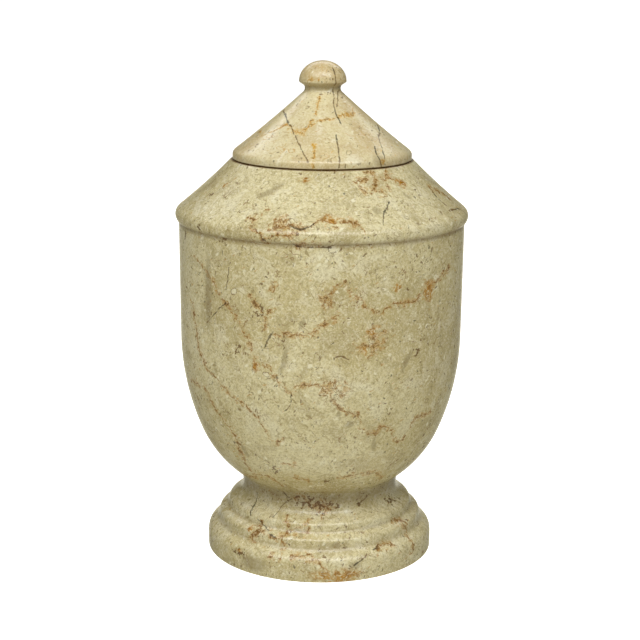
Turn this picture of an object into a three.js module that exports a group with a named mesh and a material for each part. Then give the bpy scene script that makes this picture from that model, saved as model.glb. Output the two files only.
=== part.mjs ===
// A turned stone cremation urn: a hollow urn body on a moulded foot, under a loose conical lid with a
// button knob. Millimetres, +Z up, with the origin on the turning axis at the flat underside.
import * as THREE from "three";

// Foot: a drum with two stepped mouldings over it, which lead up to the neck
const footRadius = 70.6;
const footArris = 0.7;
const drumHeight = 9.1;
const lowerStepRadius = 63.3;
const lowerStepRise = 12.9;
const upperStepRadius = 57.3;
const upperStepRise = 7.7;
const neckRadius = 48.4;
const neckRise = 11.7;
const neckCoveRise = 8.4;
const neckCoveSpread = 2.4;
// How far each moulding keeps upright before it rounds over, and how far its hollow runs up at the end
const lowerRounding = 9.0;
const lowerHollow = 7.5;
const upperRounding = 4.2;
const upperHollow = 5.3;
const neckRounding = 4.8;
const neckHollow = 8.8;

// Bowl: a tight lower arc, a wide upper arc and a wall that is almost upright
const bowlRadius = 86.5;
const lowerArcRadius = 71.3;
const upperArcRadius = 151;
const upperArcSweep = THREE.MathUtils.degToRad(23);
const wallHeight = 69.6;
const wallFlare = 0.5;

// Bead: the round edge between the wall and the shoulder
const beadRadius = 5.2;
const beadOverhang = 2.1;

// Shoulder: a low cone, a little hollow along its slope, up to the ring that the lid sits on
const shoulderRise = 33.0;
const shoulderHollow = 0.6;
const seatRadius = 55.2;
const seatArris = 0.5;

// Inside of the body
const wall = 10.0;
const mouthRadius = 41.0;
const mouthLedge = 9.5;

// Lid: a low cone with a rounded edge, and a register ring that drops into the mouth
const lidGap = 0.3;
const lidInset = 0.9;
const lidArris = 0.5;
const lidEdgeHeight = 2.4;
const lidEdgeRadius = 3.9;
const lidRise = 40.0;
const lidHollow = 0.55;
const lidThickness = 9.5;
const registerClearance = 1.0;
const registerDepth = 7.0;
const registerWidth = 9.0;
const crownRadius = 15.0;

// Knob
const knobNeckRadius = 10.8;
const knobCoveRadius = 2.8;
const knobRadius = 14.3;
const knobLip = 0.5;
const knobUndercut = 1.8;
const knobHeight = 12.2;

const bodySides = 60;
const lidSides = 48;

const at = (radius, height) => new THREE.Vector2(radius, height);

// A stretch of an outline as points: a circular arc, an arc of an ellipse, a moulding or a hollowed slope
const arc = (centre, radius, from, to, steps) => ellipse(centre, radius, radius, from, to, steps);

function ellipse(centre, across, up, from, to, steps) {
  return new THREE.EllipseCurve(centre.x, centre.y, across, up, from, to, to < from).getPoints(steps);
}

// A moulding leaves its lower edge upright, slants inwards and ends upright again
function moulding(low, high, rounding, hollow, steps) {
  const roundOver = at(low.x, low.y + rounding);
  const runUp = at(high.x, high.y - hollow);
  return new THREE.CubicBezierCurve(low, roundOver, runUp, high).getPoints(steps);
}

// A slope is hollowed by a depth at its middle, towards the axis
function hollowedSlope(low, high, depth, steps) {
  const along = high.clone().sub(low).normalize();
  const bend = low.clone().add(high).multiplyScalar(0.5);
  bend.add(at(-along.y, along.x).multiplyScalar(2 * depth));
  return new THREE.QuadraticBezierCurve(low, bend, high).getPoints(steps);
}

// The angle at which a line from a circle's outside touches it, on the side away from the axis
function tangentAngle(centre, radius, outside) {
  const offset = outside.clone().sub(centre);
  return Math.atan2(offset.y, offset.x) - Math.acos(radius / offset.length());
}

const onCircle = (centre, radius, angle) =>
  at(centre.x + radius * Math.cos(angle), centre.y + radius * Math.sin(angle));

// Stretches follow each other, and a point that two of them share is kept once
function outline(...stretches) {
  const points = stretches.flat();
  return points.filter((p, i) => i === 0 || p.distanceTo(points[i - 1]) > 0.01);
}

function turned(name, points, sides, stone) {
  const piece = new THREE.Mesh(new THREE.LatheGeometry(points, sides), stone);
  piece.name = name;
  piece.rotation.x = Math.PI / 2;
  return piece;
}

// Heights of the body's features, stacked from the underside up
const lowerStepTop = drumHeight + lowerStepRise;
const upperStepTop = lowerStepTop + upperStepRise;
const neckHeight = upperStepTop + neckRise;
const bowlFoot = at(neckRadius + neckCoveSpread, neckHeight + neckCoveRise);

// The bowl's two arcs touch where the wide one ends, and both are swung from the full radius down
const lowerArcCentre = at(0, 0);
lowerArcCentre.x =
  bowlRadius - upperArcRadius + (upperArcRadius - lowerArcRadius) * Math.cos(upperArcSweep);
const bowlFootAngle = -Math.acos((bowlFoot.x - lowerArcCentre.x) / lowerArcRadius);
lowerArcCentre.y = bowlFoot.y - lowerArcRadius * Math.sin(bowlFootAngle);
const fullHeight = lowerArcCentre.y + (upperArcRadius - lowerArcRadius) * Math.sin(upperArcSweep);
const upperArcCentre = at(bowlRadius - upperArcRadius, fullHeight);

const wallTop = at(bowlRadius + wallFlare, fullHeight + wallHeight);
const beadCreaseAngle = -Math.acos(1 - beadOverhang / beadRadius);
const beadCentre = at(
  wallTop.x + beadOverhang - beadRadius,
  wallTop.y - beadRadius * Math.sin(beadCreaseAngle),
);
const seatHeight = beadCentre.y + shoulderRise;
const shoulderTop = at(seatRadius, seatHeight - seatArris);
const shoulderAngle = tangentAngle(beadCentre, beadRadius, shoulderTop);
const shoulderFoot = onCircle(beadCentre, beadRadius, shoulderAngle);

// The inside follows the outside at the thickness of the wall
const innerRadius = bowlRadius - wall;
const shoulderSlope = Math.atan2(shoulderTop.y - shoulderFoot.y, shoulderFoot.x - shoulderTop.x);
const innerWallTop =
  shoulderFoot.y +
  (shoulderFoot.x - innerRadius) * Math.tan(shoulderSlope) -
  wall / Math.cos(shoulderSlope);
const innerArcRadius = lowerArcRadius - wall;
const innerBottom = lowerArcCentre.y - innerArcRadius;

const bodyOutline = outline(
  [at(0, 0), at(footRadius - footArris, 0), at(footRadius, footArris)],
  moulding(at(footRadius, drumHeight), at(lowerStepRadius, lowerStepTop), lowerRounding, lowerHollow, 6),
  moulding(
    at(lowerStepRadius, lowerStepTop),
    at(upperStepRadius, upperStepTop),
    upperRounding,
    upperHollow,
    6,
  ),
  moulding(at(upperStepRadius, upperStepTop), at(neckRadius, neckHeight), neckRounding, neckHollow, 6),
  ellipse(at(bowlFoot.x, neckHeight), neckCoveSpread, neckCoveRise, Math.PI, Math.PI / 2, 3),
  arc(lowerArcCentre, lowerArcRadius, bowlFootAngle, -upperArcSweep, 5),
  arc(upperArcCentre, upperArcRadius, -upperArcSweep, 0, 5),
  arc(beadCentre, beadRadius, beadCreaseAngle, shoulderAngle, 6),
  hollowedSlope(shoulderFoot, shoulderTop, shoulderHollow, 3),
  [at(seatRadius - seatArris, seatHeight), at(mouthRadius, seatHeight)],
  [at(mouthRadius, seatHeight - wall), at(mouthRadius + mouthLedge, seatHeight - wall)],
  [at(innerRadius, innerWallTop)],
  arc(upperArcCentre, upperArcRadius - wall, 0, -upperArcSweep, 4),
  arc(lowerArcCentre, innerArcRadius, -upperArcSweep, -Math.PI / 2, 7),
  [at(0, innerBottom)],
);

// Lid
const lidFoot = seatHeight + lidGap;
const lidRadius = seatRadius - lidInset;
const lidEdgeCentre = at(lidRadius - lidEdgeRadius, lidFoot + lidEdgeHeight);
const knobCoveCentre = at(knobNeckRadius + knobCoveRadius, lidFoot + lidRise + knobCoveRadius / Math.SQRT2);
const lidTop = onCircle(knobCoveCentre, knobCoveRadius, (-3 * Math.PI) / 4);
const lidAngle = tangentAngle(lidEdgeCentre, lidEdgeRadius, lidTop);
const coneFoot = onCircle(lidEdgeCentre, lidEdgeRadius, lidAngle);
const lidSlope = Math.atan2(lidTop.y - coneFoot.y, coneFoot.x - lidTop.x);
const underCone = (radius) =>
  lidTop.y - (radius - lidTop.x) * Math.tan(lidSlope) - lidThickness / Math.cos(lidSlope);
const registerRadius = mouthRadius - registerClearance;
const recessRadius = registerRadius - registerWidth;
const knobFoot = knobCoveCentre.y + knobCoveRadius / Math.SQRT2 + knobUndercut + knobLip;

const lidOutline = outline(
  [at(0, underCone(crownRadius)), at(crownRadius, underCone(crownRadius))],
  [at(recessRadius, underCone(recessRadius)), at(recessRadius, lidFoot - registerDepth)],
  [at(registerRadius, lidFoot - registerDepth), at(registerRadius, lidFoot)],
  [at(lidRadius - lidArris, lidFoot), at(lidRadius, lidFoot + lidArris)],
  arc(lidEdgeCentre, lidEdgeRadius, 0, lidAngle, 3),
  hollowedSlope(coneFoot, lidTop, lidHollow, 3),
  arc(knobCoveCentre, knobCoveRadius, (5 * Math.PI) / 4, (3 * Math.PI) / 4, 4),
  [at(knobRadius - knobLip, knobFoot - knobLip)],
  ellipse(at(0, knobFoot), knobRadius, knobHeight, 0, Math.PI / 2, 7),
);

const bodyStone = new THREE.MeshStandardMaterial({ color: 0xbdb28c, roughness: 0.28, metalness: 0 });
const lidStone = new THREE.MeshStandardMaterial({ color: 0xc9b78f, roughness: 0.28, metalness: 0 });

const urn = new THREE.Group();
urn.add(turned("urn_body", bodyOutline, bodySides, bodyStone));
urn.add(turned("lid", lidOutline, lidSides, lidStone));
export default urn;
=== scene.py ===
import math
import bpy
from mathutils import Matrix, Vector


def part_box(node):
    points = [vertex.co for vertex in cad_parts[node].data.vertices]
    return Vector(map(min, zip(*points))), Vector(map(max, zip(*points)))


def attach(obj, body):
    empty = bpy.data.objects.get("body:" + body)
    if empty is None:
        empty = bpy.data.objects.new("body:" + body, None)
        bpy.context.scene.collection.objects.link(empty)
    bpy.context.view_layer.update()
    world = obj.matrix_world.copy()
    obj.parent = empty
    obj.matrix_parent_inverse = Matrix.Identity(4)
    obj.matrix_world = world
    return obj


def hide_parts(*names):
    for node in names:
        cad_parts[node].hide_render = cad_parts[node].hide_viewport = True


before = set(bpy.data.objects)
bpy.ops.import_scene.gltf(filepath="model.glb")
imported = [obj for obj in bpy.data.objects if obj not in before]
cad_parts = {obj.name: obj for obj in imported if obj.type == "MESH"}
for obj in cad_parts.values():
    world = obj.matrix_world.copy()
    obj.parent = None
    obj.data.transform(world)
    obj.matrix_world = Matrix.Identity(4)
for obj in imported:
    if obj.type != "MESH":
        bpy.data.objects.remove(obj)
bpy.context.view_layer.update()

from types import SimpleNamespace

import bmesh
import bpy
from mathutils import Color, Matrix, Vector
from mathutils.geometry import interpolate_bezier

# Urn body
# The vessel is one block of limestone, turned and hollowed on a lathe: a drum foot with three
# moulded steps, a deep bowl, a bead and a low shoulder. It was polished while it still turned.

body_low, body_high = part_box("urn_body")
seat_height = body_high.z
bead_reach = body_high.x

foot_radius = 0.0706
body_arris = 0.0009
drum_height = 0.0091
step_radii = (0.0633, 0.0573, 0.0484)
step_heights = (0.0220, 0.0297, 0.0414)
step_roundings = (0.0090, 0.0042, 0.0048)
step_hollows = (0.0075, 0.0053, 0.0088)
neck_cove = Vector((0.0024, 0, 0.0084))

bowl_radius = 0.0865
low_arc_radius = 0.0713
high_arc_radius = 0.151
high_arc_sweep = math.radians(23)
bead_radius = 0.0052
bead_overhang = 0.0021
shoulder_rise = 0.033
shoulder_hollow = 0.0006
seat_radius = 0.0552

wall = 0.010
mouth_radius = 0.041
mouth_ledge = 0.0095
inside_round = 0.003

around_steps = 192
curve_steps = 14
cove_steps = 6
arris_steps = 3
same_place = 1e-6
crease_angle = math.radians(40)


def at(radius, height):
    return Vector((radius, 0, height))


def on_circle(centre, radius, angle):
    return centre + at(radius * math.cos(angle), radius * math.sin(angle))


def touch_angle(centre, radius, outside):
    """The angle at which a line from outside touches a circle, on the side away from the axis."""
    offset = outside - centre
    return math.atan2(offset.z, offset.x) - math.acos(radius / offset.length)


def start_outline(place):
    """A turned outline starts as one point in the plane of the front view."""
    shape = bmesh.new()
    return shape, shape.verts.new(place)


def line_to(shape, tip, *places):
    for place in places:
        made = bmesh.ops.extrude_vert_indiv(shape, verts=[tip])
        tip = made["verts"][0]
        tip.co = place
    return tip


def arc_about(shape, tip, centre, sweep, steps=curve_steps):
    """Carries the outline on round a centre, anticlockwise for a positive sweep."""
    made = bmesh.ops.spin(
        shape,
        geom=[tip],
        cent=centre,
        axis=(0, -1, 0),
        angle=sweep,
        steps=steps,
        use_merge=False,
        use_duplicate=False,
    )
    return next(part for part in made["geom_last"] if isinstance(part, bmesh.types.BMVert))


def curve_to(shape, tip, leave, arrive, end, steps=curve_steps):
    """Carries the outline on along a curve with two handles."""
    points = interpolate_bezier(tip.co, leave, arrive, end, steps + 1)
    return line_to(shape, tip, *points[1:])


def slope_to(shape, tip, end, hollow):
    """Carries the outline on up a slope that is hollowed towards the axis."""
    along = (end - tip.co).normalized()
    inward = Vector((-along.z, 0, along.x)) * hollow * 4 / 3
    third = (end - tip.co) / 3
    return curve_to(shape, tip, tip.co + third + inward, end - third + inward, end)


def soften(shape, corners, size):
    """Rounds the sharp points of an outline a little, as polishing does."""
    bmesh.ops.bevel(
        shape,
        geom=corners,
        offset=size,
        offset_type="OFFSET",
        segments=arris_steps,
        profile=0.5,
        affect="VERTICES",
        material=-1,
    )


def turn(shape, name):
    """Turns an outline into a closed solid on the lathe, with its seam at the back."""
    to_back = Matrix.Rotation(math.pi / 2, 3, "Z")
    bmesh.ops.rotate(shape, verts=shape.verts, cent=(0, 0, 0), matrix=to_back)
    bmesh.ops.spin(
        shape,
        geom=shape.verts[:] + shape.edges[:],
        cent=(0, 0, 0),
        axis=(0, 0, 1),
        angle=2 * math.pi,
        steps=around_steps,
        use_merge=True,
        use_duplicate=False,
    )
    bmesh.ops.remove_doubles(shape, verts=shape.verts, dist=same_place)
    bmesh.ops.recalc_face_normals(shape, faces=shape.faces)
    mesh = bpy.data.meshes.new(name)
    shape.to_mesh(mesh)
    shape.free()
    mesh.shade_smooth()
    mesh.set_sharp_from_angle(angle=crease_angle)
    piece = bpy.data.objects.new(name, mesh)
    bpy.context.scene.collection.objects.link(piece)
    return piece


# The bowl's arcs hang from its full width, and the bead and shoulder from the seat of the lid
bowl_foot = at(step_radii[-1], step_heights[-1]) + neck_cove
arc_difference = high_arc_radius - low_arc_radius
low_centre = at(bowl_radius - high_arc_radius + arc_difference * math.cos(high_arc_sweep), 0)
bowl_foot_angle = -math.acos((bowl_foot.x - low_centre.x) / low_arc_radius)
low_centre.z = bowl_foot.z - low_arc_radius * math.sin(bowl_foot_angle)
full_height = low_centre.z + arc_difference * math.sin(high_arc_sweep)
high_centre = at(bowl_radius - high_arc_radius, full_height)
bead_centre = at(bead_reach - bead_radius, seat_height - shoulder_rise)
bead_foot_angle = -math.acos(1 - bead_overhang / bead_radius)
shoulder_top = at(seat_radius, seat_height)
shoulder_angle = touch_angle(bead_centre, bead_radius, shoulder_top)

shape, tip = start_outline(at(0, body_low.z))
tip = line_to(shape, tip, at(foot_radius, body_low.z))
foot_corner = tip
tip = line_to(shape, tip, at(foot_radius, drum_height))
for radius, height, rounding, hollow in zip(step_radii, step_heights, step_roundings, step_hollows):
    leave = tip.co + at(0, rounding)
    tip = curve_to(shape, tip, leave, at(radius, height - hollow), at(radius, height))
cove_start = len(shape.verts)
tip = arc_about(shape, tip, at(bowl_foot.x, step_heights[-1]), -math.pi / 2, cove_steps)
shape.verts.ensure_lookup_table()
bmesh.ops.scale(
    shape,
    vec=(1, 1, neck_cove.z / neck_cove.x),
    space=Matrix.Translation(-at(0, step_heights[-1])),
    verts=shape.verts[cove_start:],
)
tip = arc_about(shape, tip, low_centre, -high_arc_sweep - bowl_foot_angle, 2 * curve_steps)
tip = arc_about(shape, tip, high_centre, high_arc_sweep)
tip = line_to(shape, tip, on_circle(bead_centre, bead_radius, bead_foot_angle))
tip = arc_about(shape, tip, bead_centre, shoulder_angle - bead_foot_angle)
tip = slope_to(shape, tip, shoulder_top, shoulder_hollow)
seat_corner = tip
tip = line_to(shape, tip, at(mouth_radius, seat_height))
mouth_corner = tip
tip = line_to(shape, tip, at(mouth_radius, seat_height - wall))
ceiling = tip
inner_radius = bowl_radius - wall
shoulder_foot = on_circle(bead_centre, bead_radius, shoulder_angle)
shoulder_slope = math.atan2(shoulder_top.z - shoulder_foot.z, shoulder_foot.x - shoulder_top.x)
inner_top = (
    shoulder_foot.z
    + (shoulder_foot.x - inner_radius) * math.tan(shoulder_slope)
    - wall / math.cos(shoulder_slope)
)
tip = line_to(shape, tip, at(mouth_radius + mouth_ledge, seat_height - wall))
tip = line_to(shape, tip, at(inner_radius, inner_top))
inner_corner = tip
tip = line_to(shape, tip, at(inner_radius, full_height))
tip = arc_about(shape, tip, high_centre, -high_arc_sweep)
tip = arc_about(shape, tip, low_centre, high_arc_sweep - math.pi / 2, 2 * curve_steps)
tip = line_to(shape, tip, at(0, low_centre.z - low_arc_radius + wall))
soften(shape, [foot_corner, seat_corner, mouth_corner, ceiling], body_arris)
soften(shape, [inner_corner], inside_round)
turned_body = turn(shape, "turned_body")


def paint(code):
    """A shader's colour from its six hex digits."""
    shade = Color(int(code[i : i + 2], 16) / 255 for i in (0, 2, 4))
    return (*shade.from_srgb_to_scene_linear(), 1.0)


def add(tree, kind, inputs, **settings):
    """Adds a node. Its inputs are numbers, colours or the outputs of other nodes."""
    node = tree.nodes.new("ShaderNode" + kind)
    for setting, value in settings.items():
        setattr(node, setting, value)
    for socket, value in inputs.items():
        if isinstance(value, bpy.types.NodeSocket):
            tree.links.new(value, node.inputs[socket])
        else:
            node.inputs[socket].default_value = value
    return node


def calc(tree, operation, *values):
    return add(tree, "Math", dict(enumerate(values)), operation=operation).outputs[0]


def vector_calc(tree, operation, *values):
    return add(tree, "VectorMath", dict(enumerate(values)), operation=operation).outputs[0]


def ease(tree, value, off, full):
    """Goes from 0 at off to 1 at full, whichever of the two is larger."""
    inputs = {0: value, 1: off, 2: full}
    return add(tree, "MapRange", inputs, interpolation_type="SMOOTHSTEP").outputs[0]


def noise(tree, where, size, detail=3.0, roughness=0.5, distortion=0.0, output=0):
    """Cloudy noise with features of about this size, in the units of where."""
    inputs = {
        "Vector": where,
        "Scale": 1 / size,
        "Detail": detail,
        "Roughness": roughness,
        "Distortion": distortion,
    }
    return add(tree, "TexNoise", inputs).outputs[output]


def cells(tree, where, spread):
    """Scattered points: the distance to the nearest, in cells, and its two chance numbers."""
    scaled = vector_calc(tree, "DIVIDE", where, spread)
    node = add(tree, "TexVoronoi", {"Vector": scaled, "Scale": 1.0})
    chance = add(tree, "SeparateColor", {0: node.outputs["Color"]})
    return node.outputs["Distance"], chance.outputs[0], chance.outputs[1]


def lay(tree, share, under, over):
    """Lays one colour over another by a share."""
    return add(tree, "Mix", {0: share, 6: under, 7: over}, data_type="RGBA").outputs[2]


def product(tree, *masks):
    """The share that is left where all of these masks overlap."""
    share = masks[0]
    for mask in masks[1:]:
        share = calc(tree, "MULTIPLY", share, mask)
    return share


def off_by(tree, value, middle):
    """How far a value is from a middle one, either way."""
    return calc(tree, "ABSOLUTE", calc(tree, "SUBTRACT", value, middle))


def tint(tree, ground, colour, mask, share):
    """Lays a colour over the ground where a mask is, by this share at most."""
    return lay(tree, calc(tree, "MULTIPLY", mask, share), ground, colour)


def length(tree, vector):
    return add(tree, "VectorMath", {0: vector}, operation="LENGTH").outputs["Value"]


def measure_along(tree, vector, direction):
    inputs = {0: vector, 1: direction}
    return add(tree, "VectorMath", inputs, operation="DOT_PRODUCT").outputs["Value"]


def curve_through(tree, value, places, handle):
    """A smooth curve through a few places, read at a value."""
    node = add(tree, "FloatCurve", {1: value})
    node.mapping.use_clip = False
    curve = node.mapping.curves[0]
    for point, place in zip(curve.points, (places[0], places[-1])):
        point.location = place
    for place in places[1:-1]:
        curve.points.new(*place)
    for point in curve.points:
        point.handle_type = handle
    node.mapping.update()
    return node.outputs[0]


# Millimetres in one degree, round the wall and on average over the urn. No drawn mark reaches so far
# as the last length.
girth_per_degree = 1.5
mean_girth_per_degree = 1.4
too_far = 60.0


def trace(tree, around, height, points):
    """The distance to a line through points of degrees and millimetres, and whether it runs level."""
    angles = [point[0] for point in points]
    heights = [point[1] for point in points]
    breadth = (max(angles) - min(angles)) * mean_girth_per_degree
    level = breadth > max(heights) - min(heights)
    ordered = sorted(points if level else [(h, a) for a, h in points])
    run, rise = (around, height) if level else (height, around)
    away = off_by(tree, rise, curve_through(tree, run, ordered, "AUTO_CLAMPED"))
    middle = (ordered[0][0] + ordered[-1][0]) / 2
    half = (ordered[-1][0] - ordered[0][0]) / 2
    inside = calc(tree, "COMPARE", run, middle, half)
    return calc(tree, "MULTIPLY_ADD", inside, -too_far, away), level


def nearest(tree, around, height, lines, per_degree):
    """The distance in millimetres to the nearest of these lines."""
    upright = level = too_far
    for points in lines:
        away, runs_level = trace(tree, around, height, points)
        if runs_level:
            level = calc(tree, "MINIMUM", away, level)
        else:
            upright = calc(tree, "MINIMUM", away, upright)
    level = calc(tree, "ADD", level, too_far)
    upright = calc(tree, "MULTIPLY", calc(tree, "ADD", upright, too_far), per_degree)
    return calc(tree, "MINIMUM", level, upright)


def spots(tree, flat, places):
    """How far inside the nearest of some tilted ovals a place is: 0 at its middle, 1 at its edge."""
    best = too_far
    for angle, height, width, tall, tilt in places:
        turned, middle = flat, Vector((angle * girth_per_degree, height, 0))
        if tilt:
            along = Vector((math.cos(math.radians(tilt)), math.sin(math.radians(tilt)), 0))
            across = Vector((-along.y, along.x, 0))
            run, rise = measure_along(tree, flat, along), measure_along(tree, flat, across)
            turned = add(tree, "CombineXYZ", {0: run, 1: rise}).outputs[0]
            middle = Vector((middle.dot(along), middle.dot(across), 0))
        scale = Vector((1 / width, 1 / tall, 0))
        oval = vector_calc(tree, "MULTIPLY_ADD", turned, scale, -middle * scale)
        best = calc(tree, "MINIMUM", length(tree, oval), best)
    return best


def shake(tree, where, size, amount, detail):
    """A wandering offset, so that drawn lines and spots get their natural run."""
    wander = noise(tree, where, size, detail, roughness=0.65, output=1)
    wander = vector_calc(tree, "SUBTRACT", wander, (0.5, 0.5, 0.5))
    return vector_calc(tree, "MULTIPLY", wander, (amount, amount, amount))


def unroll(tree, around, height):
    """The wall laid flat, in millimetres."""
    run = calc(tree, "MULTIPLY", around, girth_per_degree)
    return add(tree, "CombineXYZ", {0: run, 1: height}).outputs[0]


def lie_of_stone(tree):
    """Places in millimetres, plain and as the stone's run shakes them, and patterns used often."""
    lie = SimpleNamespace()
    own = add(tree, "TexCoord", {}).outputs["Object"]
    lie.where = vector_calc(tree, "MULTIPLY", own, (1000, 1000, 1000))
    x, y, lie.z = add(tree, "SeparateXYZ", {0: lie.where}).outputs
    angle = calc(tree, "DEGREES", calc(tree, "ARCTAN2", x, calc(tree, "MULTIPLY", y, -1.0)))
    radius = length(tree, vector_calc(tree, "MULTIPLY", lie.where, (1, 1, 0)))
    lie.per_degree = calc(tree, "MULTIPLY", radius, math.radians(1))

    slow = shake(tree, lie.where, size=10.0, amount=5.0, detail=2.0)
    quick = shake(tree, lie.where, size=2.4, amount=5.0, detail=4.0)
    lie.swept = vector_calc(tree, "ADD", lie.where, slow)
    lie.rough = vector_calc(tree, "ADD", lie.swept, quick)

    # Seams and rust spots are shaken in full, cracks and the other spots by a part of it
    steady_part = 0.4
    full = vector_calc(tree, "ADD", slow, quick)
    little = vector_calc(tree, "MULTIPLY", full, (steady_part, steady_part, steady_part))
    full = add(tree, "SeparateXYZ", {0: full}).outputs
    little = add(tree, "SeparateXYZ", {0: little}).outputs
    lie.around = calc(tree, "ADD", angle, full[0])
    lie.height = calc(tree, "ADD", lie.z, full[2])
    lie.flat = unroll(tree, lie.around, lie.height)
    lie.steady_around = calc(tree, "ADD", angle, little[0])
    lie.steady_height = calc(tree, "ADD", lie.z, little[2])
    lie.steady_flat = unroll(tree, lie.steady_around, lie.steady_height)

    lie.mottle = noise(tree, lie.where, size=17.0, detail=4.0, roughness=0.6, distortion=0.8)
    lie.hair = noise(tree, lie.swept, size=4.5, detail=5.0, roughness=0.65, distortion=3.0)
    lie.grain = noise(tree, lie.rough, size=2.4, detail=3.0, roughness=0.65, distortion=1.5)
    lie.beads = noise(tree, lie.where, size=3.0, detail=3.0, roughness=0.6, distortion=0.5)
    return lie


def clouded_ground(tree, lie, tones, marks):
    """Clouds of light and warm stone, under a soft mottle and a hairy grain of broken shell. Among the
    listed clouds, one fair cloud is a painted highlight and one dim cloud is painted shade.
    """
    clouds = noise(tree, lie.where, size=48.0, detail=3.0, roughness=0.55)
    fair = ease(tree, spots(tree, lie.flat, marks["fair clouds and highlights"]), off=1.2, full=0.3)
    dim = ease(tree, spots(tree, lie.flat, marks["dim clouds and shade"]), off=1.2, full=0.3)
    drawn = calc(tree, "MULTIPLY", calc(tree, "SUBTRACT", fair, dim), 0.22)
    clouds = ease(tree, calc(tree, "ADD", clouds, drawn), off=0.4, full=0.58)
    ground = lay(tree, clouds, tones.warm, tones.light)
    ground = tint(tree, ground, tones.dull, dim, share=0.25)
    dust = noise(tree, lie.where, size=1.0, detail=1.0)
    for pattern, share in ((lie.mottle, 0.45), (lie.hair, 0.55), (lie.grain, 0.42), (dust, 0.2)):
        share = share * marks["mottle"]
        ground = tint(tree, ground, tones.dull, ease(tree, pattern, off=0.51, full=0.63), share)
        ground = tint(tree, ground, tones.pale, ease(tree, pattern, off=0.47, full=0.36), share)
    return ground


def lay_flecks(tree, lie, ground, tones, marks):
    """Broken shell and specks that lie several ways, thicker in some places than in others."""
    crowding = noise(tree, lie.where, size=24.0, detail=2.0)
    crowding = calc(tree, "MULTIPLY_ADD", crowding, 0.9, marks["specks"] - 0.45)
    # Each kind follows one run of the stone, leans by three angles and lies some millimetres apart
    for run, lean, spread, rare, colour, share in (
        (lie.swept, (0.3, 0.9, 0.2), (8.0, 8.0, 4.4), 0.68, tones.pale, 0.85),
        (lie.rough, (1.3, 0.2, 0.7), (5.0, 5.0, 4.0), 0.68, tones.pale, 0.9),
        (lie.swept, (0.9, -0.6, 0.1), (8.0, 8.0, 2.2), 0.64, tones.dull, 0.85),
        (lie.swept, (0.2, 0.5, 0.0), (6.4, 6.4, 1.8), 0.71, tones.ochre, 0.5),
        (lie.swept, (1.1, 0.9, 0.4), (5.6, 5.6, 1.8), 0.74, tones.brown, 0.65),
        (lie.rough, (0.0, 0.0, 0.0), (4.2, 4.2, 3.4), 0.69, tones.brown, 0.8),
        (lie.rough, (0.7, 0.1, 0.3), (3.4, 3.4, 2.8), 0.77, tones.dark, 0.7),
        (lie.where, (0.4, 0.3, 0.6), (2.4, 2.4, 2.0), 0.74, tones.rust, 0.45),
    ):
        leaning = add(tree, "Mapping", {"Vector": run, "Rotation": lean}).outputs[0]
        away, chance, size = cells(tree, leaning, spread)
        reach = calc(tree, "MULTIPLY_ADD", size, 0.16, 0.07)
        fleck = ease(tree, calc(tree, "SUBTRACT", away, reach), off=0.05, full=-0.05)
        chosen = ease(tree, calc(tree, "ADD", chance, crowding), off=rare, full=rare + 0.04)
        ground = tint(tree, ground, colour, product(tree, fleck, chosen), share)
    return ground


def lay_shell_rings(tree, lie, ground, tones):
    """Shells that were cut across show as small rings."""
    away, chance, size = cells(tree, lie.swept, (8.0, 7.0, 6.0))
    radius = calc(tree, "MULTIPLY_ADD", size, 0.14, 0.16)
    rim = ease(tree, off_by(tree, away, radius), off=0.06, full=0.02)
    chosen = ease(tree, chance, off=0.88, full=0.9)
    worn = ease(tree, lie.hair, off=0.42, full=0.52)
    return tint(tree, ground, tones.brown, product(tree, rim, chosen, worn), share=0.55)


def lay_threads(tree, lie, ground, tones):
    """Fine threads: short curved ones, and long ones that wander all round."""
    for size, width, patch, rare, colour in (
        (7.0, 0.016, 6.0, 0.62, tones.brown),
        (12.0, 0.009, 8.0, 0.58, tones.rust),
        (34.0, 0.004, 16.0, 0.52, tones.rust),
    ):
        wander = noise(tree, lie.where, size, detail=3.0, roughness=0.6, distortion=0.4)
        thread = ease(tree, off_by(tree, wander, 0.5), off=width, full=width / 4)
        kept = ease(tree, noise(tree, lie.where, patch, detail=1.0), off=rare, full=rare + 0.06)
        ground = tint(tree, ground, colour, product(tree, thread, kept), share=0.6)
    return ground


def lay_rust(tree, lie, ground, tones, marks):
    """Seams with a thin broken core, tangles of rings, and blots and knots that crowd round both."""
    seam = nearest(tree, lie.around, lie.height, marks["seams"], lie.per_degree)
    tangle = ease(tree, spots(tree, lie.flat, marks["tangles"]), off=1.2, full=0.5)
    near = ease(tree, seam, off=marks["stain reach"], full=0.0)
    near = calc(tree, "MAXIMUM", near, calc(tree, "MULTIPLY", tangle, 0.8))
    stain = product(tree, near, ease(tree, lie.mottle, off=0.4, full=0.6))
    blot = ease(tree, calc(tree, "MULTIPLY_ADD", near, 0.2, lie.beads), off=0.62, full=0.7)
    blot = product(tree, blot, ease(tree, near, off=0.0, full=0.25))
    core = ease(tree, seam, off=0.55, full=0.15)
    core = product(tree, core, ease(tree, lie.beads, off=0.38, full=0.48))
    wander = noise(tree, lie.where, size=7.5, detail=4.0, roughness=0.65, distortion=0.8)
    rings = product(tree, ease(tree, off_by(tree, wander, 0.5), off=0.025, full=0.006), tangle)
    knots = ease(tree, calc(tree, "MULTIPLY_ADD", near, 0.14, lie.beads), off=0.68, full=0.73)
    knots = product(tree, knots, ease(tree, lie.hair, off=0.44, full=0.52))
    ground = tint(tree, ground, tones.ochre, stain, share=0.14)
    ground = tint(tree, ground, tones.ochre, blot, share=0.42)
    ground = tint(tree, ground, tones.rust, calc(tree, "MAXIMUM", core, rings), share=0.8)
    return tint(tree, ground, tones.brown, knots, share=0.75)


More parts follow.
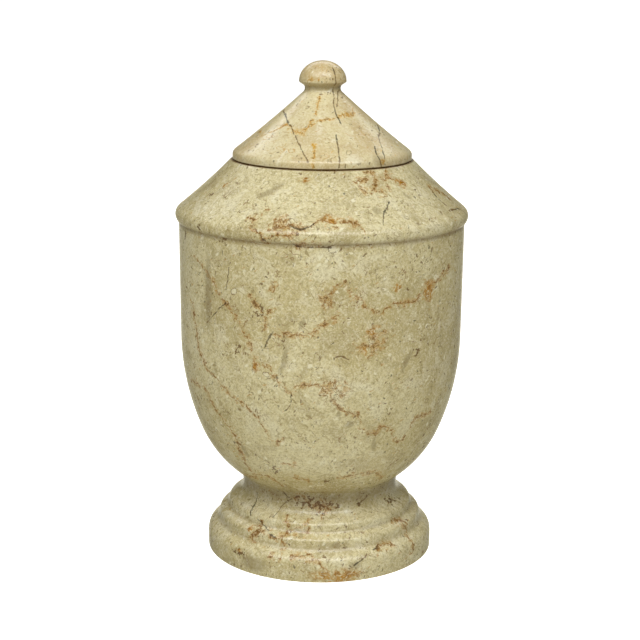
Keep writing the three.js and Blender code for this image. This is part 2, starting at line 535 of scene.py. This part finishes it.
def lay_spots(tree, lie, ground, tones, marks):
    """Worn rust patches, smooth smudges, clusters of dark grains, pale shells and ringed pebbles."""
    patch = ease(tree, spots(tree, lie.flat, marks["patches"]), off=1.2, full=0.4)
    patch = product(tree, patch, ease(tree, lie.beads, off=0.36, full=0.5))
    patch = product(tree, patch, ease(tree, lie.hair, off=0.36, full=0.52))
    heart = product(tree, patch, ease(tree, lie.beads, off=0.5, full=0.6))
    ground = tint(tree, ground, tones.ochre, patch, share=0.9)
    ground = tint(tree, ground, tones.rust, heart, share=0.7)

    smudge = ease(tree, spots(tree, lie.steady_flat, marks["smudges"]), off=1.3, full=0.5)
    ground = tint(tree, ground, tones.grey, smudge, share=0.45)

    cluster = ease(tree, spots(tree, lie.flat, marks["clusters"]), off=1.4, full=0.2)
    grains = noise(tree, lie.where, size=2.4, detail=3.0, roughness=0.6)
    grains = ease(tree, calc(tree, "MULTIPLY_ADD", cluster, 0.12, grains), off=0.62, full=0.66)
    grains = product(tree, grains, ease(tree, cluster, off=0.0, full=0.2))
    ground = tint(tree, ground, tones.brown, grains, share=0.85)

    shell = ease(tree, spots(tree, lie.steady_flat, marks["shells"]), off=1.3, full=0.5)
    shell = product(tree, shell, ease(tree, lie.hair, off=0.62, full=0.5))
    ground = tint(tree, ground, tones.pale, shell, share=0.6)

    pebble = spots(tree, lie.steady_flat, marks["pebbles"])
    ground = tint(tree, ground, tones.pale, ease(tree, pebble, off=1.0, full=0.9), share=0.6)
    ring = ease(tree, off_by(tree, pebble, 1.0), off=0.2, full=0.05)
    ring = product(tree, ring, ease(tree, lie.beads, off=0.4, full=0.5))
    return tint(tree, ground, tones.brown, ring, share=0.7)


def limestone(name, codes, marks):
    """Polished limestone with rust seams, fine cracks, broken shells and specks."""
    material = bpy.data.materials.new(name)
    material.use_nodes = True
    tree = material.node_tree
    tree.nodes.clear()
    tones = SimpleNamespace(**{tone: paint(code) for tone, code in codes.items()})
    lie = lie_of_stone(tree)
    ground = clouded_ground(tree, lie, tones, marks)
    ground = lay_flecks(tree, lie, ground, tones, marks)
    ground = lay_shell_rings(tree, lie, ground, tones)
    ground = lay_threads(tree, lie, ground, tones)
    ground = lay_rust(tree, lie, ground, tones, marks)
    ground = lay_spots(tree, lie, ground, tones, marks)

    # A crack is thick and thin by turns, and partly black, partly brown
    crack = nearest(tree, lie.steady_around, lie.steady_height, marks["cracks"], lie.per_degree)
    crack = calc(tree, "MULTIPLY_ADD", lie.beads, -1.6, calc(tree, "ADD", crack, 0.8))
    crack = ease(tree, crack, off=0.6, full=0.2)
    crack = product(tree, crack, ease(tree, lie.beads, off=0.32, full=0.44))
    crack_colour = lay(tree, ease(tree, lie.mottle, off=0.46, full=0.54), tones.dark, tones.brown)
    ground = tint(tree, ground, crack_colour, crack, share=0.78)

    # Painted shade, partly grime: bands round each hollow and along the seam of lid and body are
    # browned where shade falls
    for middle, reach, share in marks["crease shade and grime"]:
        shade_and_grime = ease(tree, off_by(tree, lie.z, middle), off=reach, full=0.0)
        ground = tint(tree, ground, tones.brown, shade_and_grime, share)

    # The polish is a little uneven with the grain, and the cracks are open by a hair
    gloss = calc(tree, "MULTIPLY_ADD", lie.grain, 0.12, 0.2)
    relief = calc(tree, "MULTIPLY_ADD", crack, -1.0, lie.grain)
    bump = add(tree, "Bump", {"Strength": 0.06, "Distance": 0.0004, "Height": relief}).outputs[0]
    inputs = {"Base Color": ground, "Roughness": gloss, "Normal": bump, "IOR": 1.5}
    shader = add(tree, "BsdfPrincipled", inputs)
    add(tree, "OutputMaterial", {0: shader.outputs[0]})
    return material


body_tones = {
    "light": "e0d5a6",
    "warm": "d0c28e",
    "dull": "a69566",
    "grey": "86744e",
    "pale": "f0eacc",
    "rust": "855a24",
    "ochre": "bc862c",
    "brown": "6a4a24",
    "dark": "2a2314",
}

# Lines are points of degrees and millimetres up, where 0 degrees faces the front and 90 the right.
# Spots are an angle, a height, two half widths and a tilt. Bands of painted crease shade and grime are
# a height, a reach and a share.
body_marks = {
    "mottle": 1.0,
    "specks": -0.02,
    "stain reach": 4.0,
    "seams": (
        ((-59, 194), (-51, 188), (-44, 178), (-40, 171), (-33, 161), (-29, 152), (-25, 141)),
        ((-25, 141), (-22, 138), (-16, 127), (-11, 121)),
        ((-11, 121), (-8, 126), (-1, 127), (4, 121), (9, 111), (15, 108)),
        ((15, 108), (18, 99), (22, 95), (26, 99), (31, 95), (37, 86), (41, 91), (43, 98), (54, 101)),
        ((-18, 187), (-19, 180)),
        ((-19, 171), (-21, 165), (-22, 158)),
        ((-28, 178), (-24, 169), (-21, 167)),
        ((-18, 157), (-9, 156), (-5, 157), (0, 161), (7, 168)),
        (
            (8, 188), (11, 181), (17, 173), (23, 168), (29, 173),
            (38, 173), (42, 176), (52, 183), (61, 189),
        ),
        ((8, 187), (4, 183), (1, 175)),
        ((-45, 123), (-38, 115), (-31, 110), (-25, 102), (-22, 93), (-20, 89), (-15, 92)),
        ((-68, 113), (-60, 115), (-53, 114)),
        ((-53, 114), (-50, 104), (-45, 97), (-41, 90), (-40, 78), (-41, 62)),
        ((-56, 55), (-41, 58), (-32, 62), (-27, 61), (-23, 54)),
        ((-62, 165), (-57, 144), (-52, 130), (-45, 123)),
        ((9, 65), (18, 66), (29, 65), (39, 58)),
        ((-19, 75), (-11, 74)),
        ((-13, 65), (-4, 61)),
        ((-31, 221), (-27, 220), (-25, 224), (-23, 227)),
        ((-27, 220), (-26, 216), (-22, 212), (-20, 208)),
        ((-20, 208), (-18, 213), (-14, 214), (-11, 212), (-9, 208), (0, 208)),
        ((-20, 219), (-15, 221), (-12, 218), (-4, 218), (-2, 221), (4, 220), (13, 220), (16, 215)),
        ((-20, 215), (-15, 218), (-10, 216)),
        ((17, 239), (24, 242), (29, 245)),
        ((17, 240), (20, 237), (22, 233)),
        ((30, 245), (30, 240), (27, 235)),
        ((27, 233), (31, 234), (34, 234)),
        ((34, 234), (36, 237), (34, 240)),
        ((34, 240), (38, 240), (41, 239), (47, 236)),
        ((41, 245), (40, 242), (41, 239)),
        ((66, 232), (74, 229), (79, 224)),
        ((-39, 31), (-36, 26), (-40, 21), (-38, 17)),
        ((-40, 21), (-34, 24), (-30, 25), (-24, 22), (-19, 27)),
        ((-22, 34), (-19, 28), (-21, 23), (-19, 17)),
        ((-8, 34), (-7, 30), (-8, 25)),
        ((-16, 27), (-12, 28), (-8, 27)),
        ((49, 27), (56, 26), (60, 24)),
        ((56, 21), (55, 10), (49, 6)),
        ((30, 15), (36, 17), (44, 16)),
        ((-20, 45), (-13, 46), (-9, 42), (-3, 41), (5, 40)),
        ((1, 33), (3, 36), (7, 39)),
        ((-27, 13), (-23, 14), (-18, 14)),
        ((-15, 15), (-8, 16), (-2, 16)),
        ((0, 15), (1, 10), (4, 8)),
        ((118, 190), (128, 176), (135, 150), (150, 138), (158, 120)),
        ((150, 138), (166, 146), (178, 152)),
        ((-178, 152), (-160, 140)),
        ((-150, 178), (-142, 160), (-128, 148), (-120, 118)),
        ((-128, 148), (-110, 155), (-96, 147)),
        ((84, 96), (96, 104), (110, 92), (122, 70)),
        ((-105, 84), (-118, 74), (-140, 80)),
        ((130, 222), (142, 232), (156, 226), (168, 240)),
        ((-118, 232), (-104, 218), (-92, 224)),
        ((140, 20), (152, 26), (165, 18)),
        ((-130, 22), (-118, 14)),
    ),
    "cracks": (
        ((-39, 171), (-50, 156)),
        ((-37, 195), (-38, 187), (-39, 178)),
        ((-18, 158), (-20, 152), (-23, 145)),
        ((-11, 121), (-12, 114), (-14, 110)),
        ((5, 142), (7, 144), (11, 142)),
        ((-12, 212), (-10, 208), (-5, 207), (4, 207)),
        ((-26, 217), (-23, 213), (-20, 208)),
        ((32, 229), (29, 226), (26, 223), (24, 218)),
        ((67, 231), (65, 227), (66, 222)),
        ((64, 220), (75, 219), (78, 214)),
        ((-20, 44), (-27, 39), (-31, 33)),
        ((-53, 42), (-51, 35), (-47, 30)),
        ((-41, 30), (-32, 26), (-24, 23)),
        ((-27, 48), (-22, 44)),
        ((34, 18), (29, 16)),
        ((25, 15), (17, 10)),
        ((-18, 21), (-16, 20)),
        ((-12, 218), (-8, 217), (-5, 218), (-3, 220)),
        ((27, 40), (32, 41), (39, 45)),
        ((98, 182), (104, 168)),
        ((-158, 112), (-148, 98)),
        ((176, 186), (170, 172)),
        ((-84, 130), (-90, 112)),
    ),
    "tangles": (
        (5, 125, 11, 8, 0),
        (23, 236, 6, 4, 0),
        (-13, 217, 13, 5, 0),
        (4, 222, 6, 3, 0),
        (20, 150, 13, 8, 25),
        (2, 177, 6, 8, 0),
        (0, 41, 20, 5, 0),
        (-38, 26, 5, 4, 0),
        (55, 24, 8, 4, 0),
        (150, 140, 14, 10, 0),
        (-124, 150, 12, 8, 0),
        (-160, 228, 14, 6, 0),
        (110, 96, 10, 7, 0),
        (160, 22, 14, 5, 0),
    ),
    "patches": (
        (-25, 136, 2.5, 4, 0),
        (9, 4, 22, 5, 0),
        (4, 3, 7, 4, 0),
        (-44, 12, 4, 1.5, 0),
        (-42, 24, 3, 2, 0),
        (20, 158, 5, 3, 30),
        (16, 147, 3, 2, 0),
        (30, 182, 4, 3, 0),
        (4, 222, 5, 2.5, 0),
        (46, 237, 5, 3, 0),
        (-57, 234, 3, 2, 0),
        (-9, 241, 3, 2, 0),
        (46, 177, 5, 8, 0),
        (-146, 66, 6, 4, 0),
    ),
    "clusters": (
        (-34, 144, 4, 6, -30),
        (-39, 206, 5, 3, 0),
        (-62, 228, 4, 1.5, 0),
        (-68, 204, 4, 3, 0),
        (-53, 212, 3, 2, 0),
        (-24, 168, 5, 6, 0),
        (40, 142, 3, 3, 0),
        (-22, 68, 4, 5, 0),
        (6, 62, 4, 2, 0),
        (-2, 42, 30, 5, 0),
        (-16, 44, 4, 2, 0),
        (-3, 43, 4, 2, 0),
        (2, 37, 4, 2, 0),
        (10, 41, 4, 2, 0),
        (29, 40, 4, 2, 0),
        (62, 37, 10, 3, 0),
        (-44, 11, 8, 3, 0),
        (21, 214, 1.5, 1, 0),
        (38, 213, 2, 1.5, 0),
        (104, 150, 6, 6, 0),
        (-166, 164, 5, 6, 0),
        (170, 44, 12, 5, 0),
    ),
    "smudges": (
        (-49, 175, 3, 24, 0),
        (-14, 141, 2, 10, -20),
        (7, 109, 1.5, 1.5, 0),
        (-37, 79, 2, 5, 25),
        (24, 87, 2, 5, 15),
        (35, 138, 2, 8, -30),
        (-26, 234, 9, 2, 25),
        (24, 225, 3.5, 2, 0),
        (44, 231, 3, 1, -45),
        (-7, 163, 1.5, 4, -15),
        (12, 102, 3, 2.5, 0),
        (9, 21, 4, 2, 0),
        (-12, 27, 4, 1.2, -25),
        (18, 10, 5, 2.5, 0),
        (-34, 7, 12, 5, 0),
    ),
    "shells": (
        (-31, 179, 3, 2.5, 0),
        (54, 105, 2, 4, 0),
        (-22, 232, 3, 1.6, 0),
        (53, 154, 1.6, 4, 0),
        (8, 197, 3, 2, 0),
        (-47, 108, 1.2, 3.5, 0),
        (17, 125, 7, 1, -18),
        (1, 76, 3, 1.5, 0),
        (-1, 58, 5, 0.5, 0),
        (-12, 28, 7, 1.5, 0),
    ),
    "pebbles": (
        (4, 206, 2.6, 2.0, 0),
        (-35, 178, 2.2, 1.8, 30),
        (-21, 132, 1.8, 1.3, -20),
    ),
    "fair clouds and highlights": (
        (-6, 105, 60, 40, 0),
        (-35, 230, 50, 20, 0),
        (35, 230, 50, 20, 0),
        # Painted highlight: the front of the first ledge above the drum is made paler
        (4, 15, 70, 6, 0),
        (150, 120, 60, 40, 0),
    ),
    "dim clouds and shade": (
        (14, 174, 24, 16, 0),
        (34, 164, 30, 24, 0),
        (52, 140, 22, 30, 0),
        (-44, 168, 16, 20, 0),
        # Painted shade: the front of the bowl's underside, just above the neck, is dimmed
        (0, 56, 70, 7, 0),
        (-150, 190, 60, 30, 0),
    ),
    # Painted shade, partly grime: the neck, the two step hollows, under the bead and the seat under the
    # lid
    "crease shade and grime": (
        (45, 10, 0.4),
        (19, 2.5, 0.2),
        (27.5, 1.5, 0.22),
        (208, 3, 0.45),
        (245.4, 0.6, 0.9),
    ),
}
body_stone = limestone("warm cream limestone", body_tones, body_marks)
turned_body.data.materials.append(body_stone)
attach(turned_body, "root")
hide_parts("urn_body")

# Lid
# The lid is turned from a pinker block of the same limestone: a low cone with a button knob and a
# rounded edge. It lies loose on the body's seat, and a ring under it drops into the mouth.

lid_low, lid_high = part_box("lid")
lid_radius = lid_high.x
lid_gap = 0.0003
lid_foot = seat_height + lid_gap
lid_edge_height = 0.0024
lid_edge_radius = 0.0039
lid_arris = 0.0006
lid_rise = 0.040
lid_hollow = 0.00055
lid_thickness = 0.0095
register_radius = 0.040
recess_radius = 0.031
crown_radius = 0.015
knob_neck_radius = 0.0108
knob_cove_radius = 0.0028
knob_radius = 0.0143
knob_lip = 0.0005
knob_undercut = 0.0018
inside_cad = 0.9999
lip_share = 0.9

edge_centre = at(lid_radius - lid_edge_radius, lid_foot + lid_edge_height)
cove_half = knob_cove_radius / math.sqrt(2)
cove_centre = at(knob_neck_radius + knob_cove_radius, lid_foot + lid_rise + cove_half)
lid_top = on_circle(cove_centre, knob_cove_radius, -3 * math.pi / 4)
lid_angle = touch_angle(edge_centre, lid_edge_radius, lid_top)
cone_foot = on_circle(edge_centre, lid_edge_radius, lid_angle)
lid_slope = (lid_top.z - cone_foot.z) / (cone_foot.x - lid_top.x)
under_drop = lid_thickness * math.sqrt(1 + lid_slope**2)
knob_foot = cove_centre.z + cove_half + knob_undercut + knob_lip


def under_cone(radius):
    """A point on the underside of the lid's cone."""
    return at(radius, lid_top.z - (radius - lid_top.x) * lid_slope - under_drop)


shape, tip = start_outline(at(0, under_cone(crown_radius).z))
tip = line_to(shape, tip, under_cone(crown_radius))
tip = line_to(shape, tip, under_cone(recess_radius), at(recess_radius, lid_low.z))
ring_corners = [tip]
tip = line_to(shape, tip, at(register_radius, lid_low.z))
ring_corners.append(tip)
tip = line_to(shape, tip, at(register_radius, lid_foot), at(lid_radius, lid_foot))
edge_corner = tip
tip = line_to(shape, tip, at(lid_radius, edge_centre.z))
tip = arc_about(shape, tip, edge_centre, lid_angle)
tip = slope_to(shape, tip, lid_top, lid_hollow)
tip = arc_about(shape, tip, cove_centre, -math.pi / 2)
tip = line_to(shape, tip, at(knob_radius, knob_foot - knob_lip))
lip_corner = tip
tip = line_to(shape, tip, at(knob_radius, knob_foot))
knob_start = len(shape.verts)
tip = arc_about(shape, tip, at(0, knob_foot), math.pi / 2)
shape.verts.ensure_lookup_table()
bmesh.ops.scale(
    shape,
    vec=(1, 1, (lid_high.z - knob_foot) / knob_radius * inside_cad),
    space=Matrix.Translation(-at(0, knob_foot)),
    verts=shape.verts[knob_start:],
)
soften(shape, ring_corners, lid_arris)
soften(shape, [edge_corner], lid_arris)
soften(shape, [lip_corner], knob_lip * lip_share)
turned_lid = turn(shape, "turned_lid")

lid_tones = {
    "light": "e2d6a8",
    "warm": "dac896",
    "dull": "bfa678",
    "grey": "8f7a54",
    "pale": "f0e8cc",
    "rust": "c08e38",
    "ochre": "dcb050",
    "brown": "6e522a",
    "dark": "2c261a",
}
lid_marks = {
    "mottle": 0.75,
    "specks": -0.05,
    "stain reach": 2.2,
    "seams": (
        ((-7, 284), (-9, 277), (-11, 271), (-16, 266), (-16, 263)),
        ((-8, 260), (-5, 256), (-5, 247)),
        ((-79, 262), (-61, 262), (-48, 266), (-41, 268), (-33, 266), (-23, 265), (-16, 267), (-4, 271)),
        ((-4, 271), (15, 272), (29, 274), (42, 274), (58, 277)),
        ((-40, 292), (-33, 294), (-8, 294)),
        ((120, 250), (136, 262), (150, 268), (164, 281)),
        ((-160, 256), (-140, 266), (-120, 262)),
    ),
    "cracks": (
        ((34, 301), (32, 295), (34, 289), (33, 286), (21, 280), (19, 274), (21, 269)),
        ((66, 287), (41, 284), (24, 278)),
        ((12, 264), (12, 261), (11, 252), (10, 247)),
        ((80, 267), (64, 263), (55, 261), (48, 256), (42, 250)),
        ((42, 257), (38, 251), (39, 246)),
        ((-80, 275), (-49, 271), (-29, 265), (-20, 260), (-8, 250)),
        ((-150, 280), (-158, 268), (-150, 256)),
        ((98, 276), (110, 262)),
    ),
    "tangles": ((-18, 266, 4, 2, 0), (36, 274, 6, 2, 0), (150, 266, 12, 5, 0)),
    "patches": ((-6, 258, 2, 3, 0), (40, 249, 4, 1.5, 0), (-138, 262, 6, 3, 0)),
    "clusters": ((19, 253, 1, 1, 0), (128, 256, 4, 3, 0)),
    "smudges": ((38, 250, 8, 3, 0), (170, 264, 6, 4, 0)),
    "shells": ((-27, 252, 1.5, 5, -25), (20, 251, 9, 3, 0), (-3, 267, 5, 3, 0), (9, 261, 4, 1, 0)),
    "pebbles": ((-150, 258, 1.8, 1.3, 0),),
    "fair clouds and highlights": ((-30, 262, 40, 12, 0),),
    "dim clouds and shade": ((40, 262, 20, 10, 0), (0, 301, 150, 9, 0)),
    # Painted shade, partly grime: under the knob and along the lid's edge at the seam
    "crease shade and grime": ((289.5, 3.5, 0.35), (245.9, 0.7, 0.9)),
}
lid_stone = limestone("pinker limestone", lid_tones, lid_marks)
turned_lid.data.materials.append(lid_stone)
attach(turned_lid, "root")
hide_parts("lid")

# Floor
# The urn stands on a plain white sheet that is lit from under. Far past the edges of the view it
# slopes up on all sides.

floor_reach = 30.0
slope_reach = 40.0
slope_rise = 20.0
floor_sides = 64
floor_grey = (0.9, 0.9, 0.9, 1)
floor_roughness = 0.9
floor_glow = 1.0

shape = bmesh.new()
bmesh.ops.create_circle(shape, cap_ends=True, segments=floor_sides, radius=floor_reach)
bmesh.ops.create_cone(
    shape,
    segments=floor_sides,
    radius1=floor_reach,
    radius2=slope_reach,
    depth=slope_rise,
    matrix=Matrix.Translation((0, 0, slope_rise / 2)),
)
bmesh.ops.remove_doubles(shape, verts=shape.verts, dist=0.001)
floor_mesh = bpy.data.meshes.new("pale_floor")
shape.to_mesh(floor_mesh)
shape.free()
floor = bpy.data.objects.new("pale_floor", floor_mesh)
bpy.context.scene.collection.objects.link(floor)
floor_paint = bpy.data.materials.new("pale paper")
floor_paint.use_nodes = True
sheet = floor_paint.node_tree.nodes["Principled BSDF"].inputs
sheet["Base Color"].default_value = floor_grey
sheet["Roughness"].default_value = floor_roughness
sheet["Emission Color"].default_value = (1, 1, 1, 1)
sheet["Emission Strength"].default_value = floor_glow
floor_mesh.materials.append(floor_paint)
floor.visible_diffuse = False
floor.visible_glossy = False
floor.visible_shadow = False

# Light
# A dim room: some light comes up from the bright table, a bright wall stands behind the urn, and most
# light comes down from three long soft lamps, two in front of the urn and one behind it.

# How bright the room is by how steeply one looks down (-1) or up (1), and how much less so to the back
room_glow = (
    (-1.0, 1.35), (-0.85, 1.1), (-0.7, 0.42), (-0.2, 0.46), (0.0, 0.05), (0.6, 0.05), (1.0, 0.25),
)
back_loss = 0.6
room_colour = (1.0, 0.97, 0.8, 1)
bright_wall = (0, 0.97, -0.24)
lamps_face = Vector((0, 0, 0.15))

world = bpy.data.worlds.new("dim room")
bpy.context.scene.world = world
world.use_nodes = True
room = world.node_tree
room.nodes.clear()
direction = add(room, "TexCoord", {}).outputs["Generated"]
facing = add(room, "SeparateXYZ", {0: direction}).outputs
glow = curve_through(room, facing[2], room_glow, "AUTO")
from_front = calc(room, "MULTIPLY_ADD", facing[1], -back_loss, 1.0)
backdrop = ease(room, measure_along(room, direction, bright_wall), off=0.9, full=0.98)
strength = calc(room, "MULTIPLY_ADD", glow, from_front, backdrop)
background = add(room, "Background", {"Color": room_colour, "Strength": strength})
add(room, "OutputWorld", {0: background.outputs[0]})


def soft_light(name, place, across, deep, power):
    """A long soft lamp that faces the middle of the urn."""
    lamp = bpy.data.lights.new(name, "AREA")
    lamp.shape = "RECTANGLE"
    lamp.size = across
    lamp.size_y = deep
    lamp.energy = power
    light = bpy.data.objects.new(name, lamp)
    light.location = place
    light.rotation_euler = (lamps_face - Vector(place)).to_track_quat("-Z", "Y").to_euler()
    bpy.context.scene.collection.objects.link(light)


soft_light("top light", place=(-0.09, -1.19, 2.08), across=4.2, deep=1.08, power=46.0)
soft_light("front light", place=(-0.09, -1.91, 2.04), across=3.8, deep=0.76, power=27.0)
soft_light("back light", place=(-0.09, 1.91, 2.04), across=3.3, deep=0.76, power=20.0)

# Camera
# The picture was taken from the front, a little over one urn's height up and three heights away.

camera_place = (-0.00055, -0.9272, 0.3653)
look_down = math.radians(13.376)
roll = math.radians(0.45)

camera_data = bpy.data.cameras.new("camera")
camera_data.lens = 86.4
camera_data.sensor_width = 36.0
camera_data.clip_start = 0.05
camera_data.clip_end = 100.0
camera = bpy.data.objects.new("camera", camera_data)
camera.matrix_world = (
    Matrix.Translation(camera_place)
    @ Matrix.Rotation(math.pi / 2 - look_down, 4, "X")
    @ Matrix.Rotation(roll, 4, "Z")
)
bpy.context.scene.collection.objects.link(camera)
bpy.context.scene.camera = camera
bpy.context.scene.view_settings.view_transform = "Standard"
